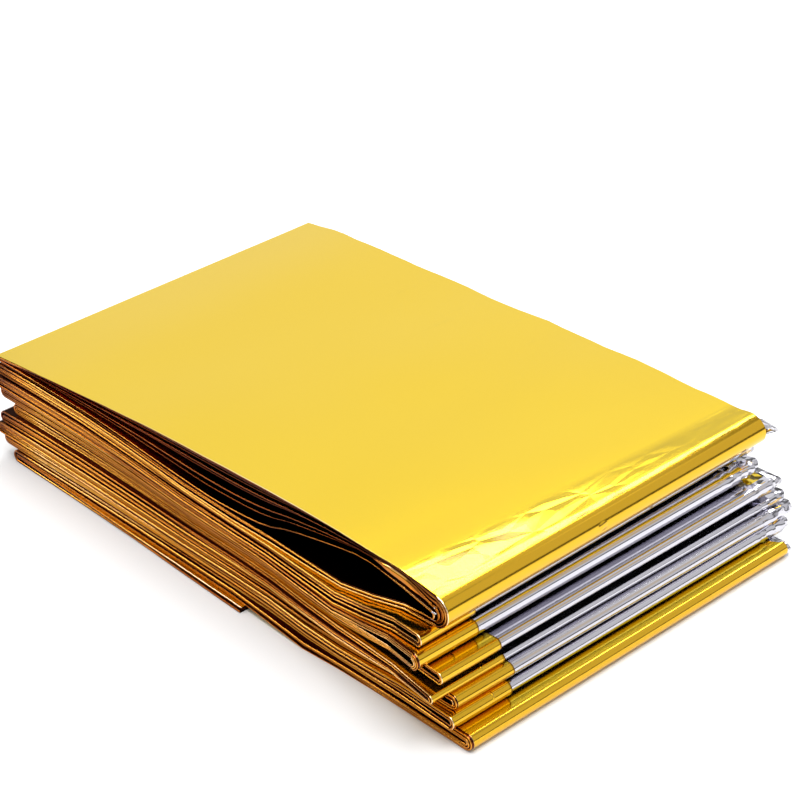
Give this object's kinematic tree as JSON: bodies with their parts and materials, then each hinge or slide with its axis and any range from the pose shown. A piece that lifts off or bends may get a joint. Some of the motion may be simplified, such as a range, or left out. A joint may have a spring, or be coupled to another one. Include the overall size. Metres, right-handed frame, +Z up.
{
  "type": "emergency foil blanket",
  "caption": "Emergency foil blanket of gold and silver metallised film, pleated and folded into its pocket-sized pack, with the top flap bowed up.",
  "frame": {"origin": "on the surface that the pack rests on, under the middle of its bounding box", "axes": "+Z up; +X along the runs, towards the open right-hand folds, the pack's longest way; +Y along the folds, towards the far edge"},
  "size_m": [0.1332, 0.094, 0.0286],
  "materials": {
    "gold_film": "mirror-bright metallised film, gold lacquered"
  },
  "bodies": {
    "root": {"blanket": "gold_film"}
  },
  "joints": []
}
